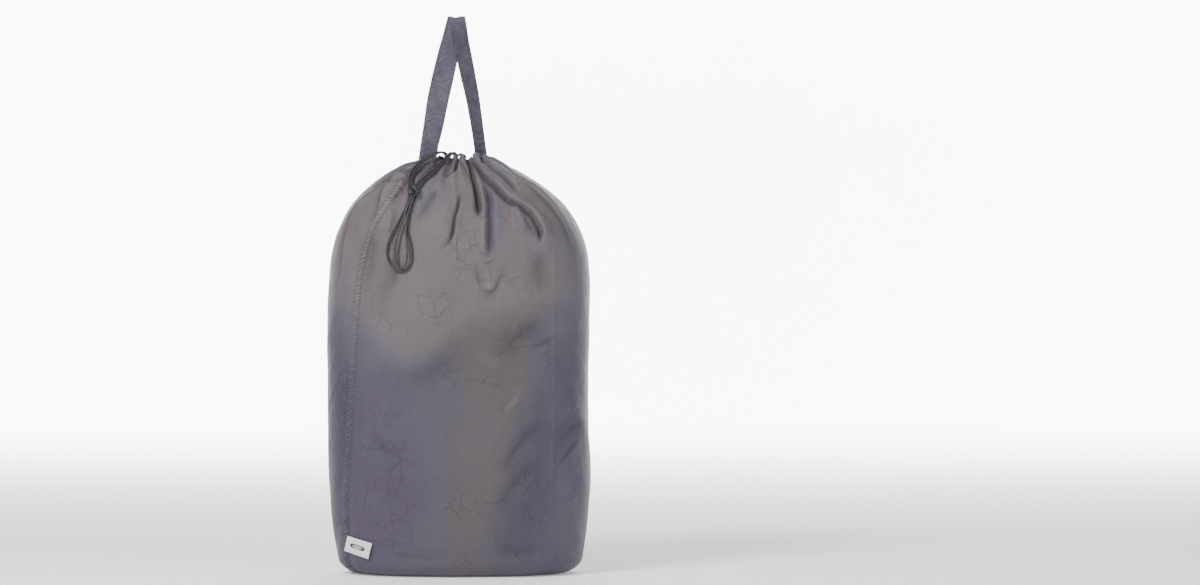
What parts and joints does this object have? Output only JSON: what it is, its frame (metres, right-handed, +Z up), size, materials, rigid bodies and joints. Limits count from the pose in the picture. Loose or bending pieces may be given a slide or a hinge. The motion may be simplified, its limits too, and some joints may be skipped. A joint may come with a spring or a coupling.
{
  "type": "laundry bag",
  "caption": "Tall round-bottomed drawstring laundry bag of thin woven cloth, gathered mouth, knotted cord tails, cloth carrying strap and a woven side label.",
  "frame": {"origin": "middle of the flat base, on the surface that the bag stands on", "axes": "+Z up to the carrying strap, -Y to the front with the knotted cord and the label, +X to the right seen from the front"},
  "size_m": [0.4514, 0.293, 0.958],
  "materials": {
    "cloth": "plain-woven polyester, soft sheen",
    "strap_cloth": "the same cloth, folded and edge-stitched",
    "thread": "spun polyester sewing thread",
    "cord": "braided polyester cord",
    "label_tape": "woven satin label tape",
    "label_mark": "woven mark"
  },
  "bodies": {
    "bag": {"front_panel": "cloth", "back_panel": "cloth", "left_felled_seam": "cloth", "right_felled_seam": "cloth", "bottom_felled_seam": "cloth", "left_seam_thread": "thread", "right_seam_thread": "thread", "bottom_seam_thread": "thread", "front_casing": "cloth", "back_casing": "cloth", "casing_thread": "thread", "left_buttonhole": "thread", "right_buttonhole": "thread", "casing_cord": "cord", "left_strap_end": "strap_cloth", "right_strap_end": "strap_cloth", "left_end_thread": "thread", "right_end_thread": "thread"},
    "handle": {"handle_strap": "strap_cloth", "handle_thread": "thread"},
    "cord_tails": {"left_bight": "cord", "right_bight": "cord", "drawstring_knot": "cord"},
    "label": {"side_label": "label_tape", "label_mark": "label_mark"}
  },
  "joints": [
    {"name": "handle_flop", "type": "hinge", "parent": "bag", "child": "handle", "pos_m": [0, 0, 0.7178], "axis": [1, 0, 0], "range_deg": [-75, 45]},
    {"name": "tails_lift", "type": "hinge", "parent": "bag", "child": "cord_tails", "pos_m": [-0.0095, -0.024, 0.7146], "axis": [-1, 0, 0], "range_deg": [0, 45]},
    {"name": "label_flip", "type": "hinge", "parent": "bag", "child": "label", "pos_m": [-0.18795, -0.0778, 0.056], "axis": [-0.1571, 0.3702, -0.9156], "range_deg": [0, 50]}
  ]
}
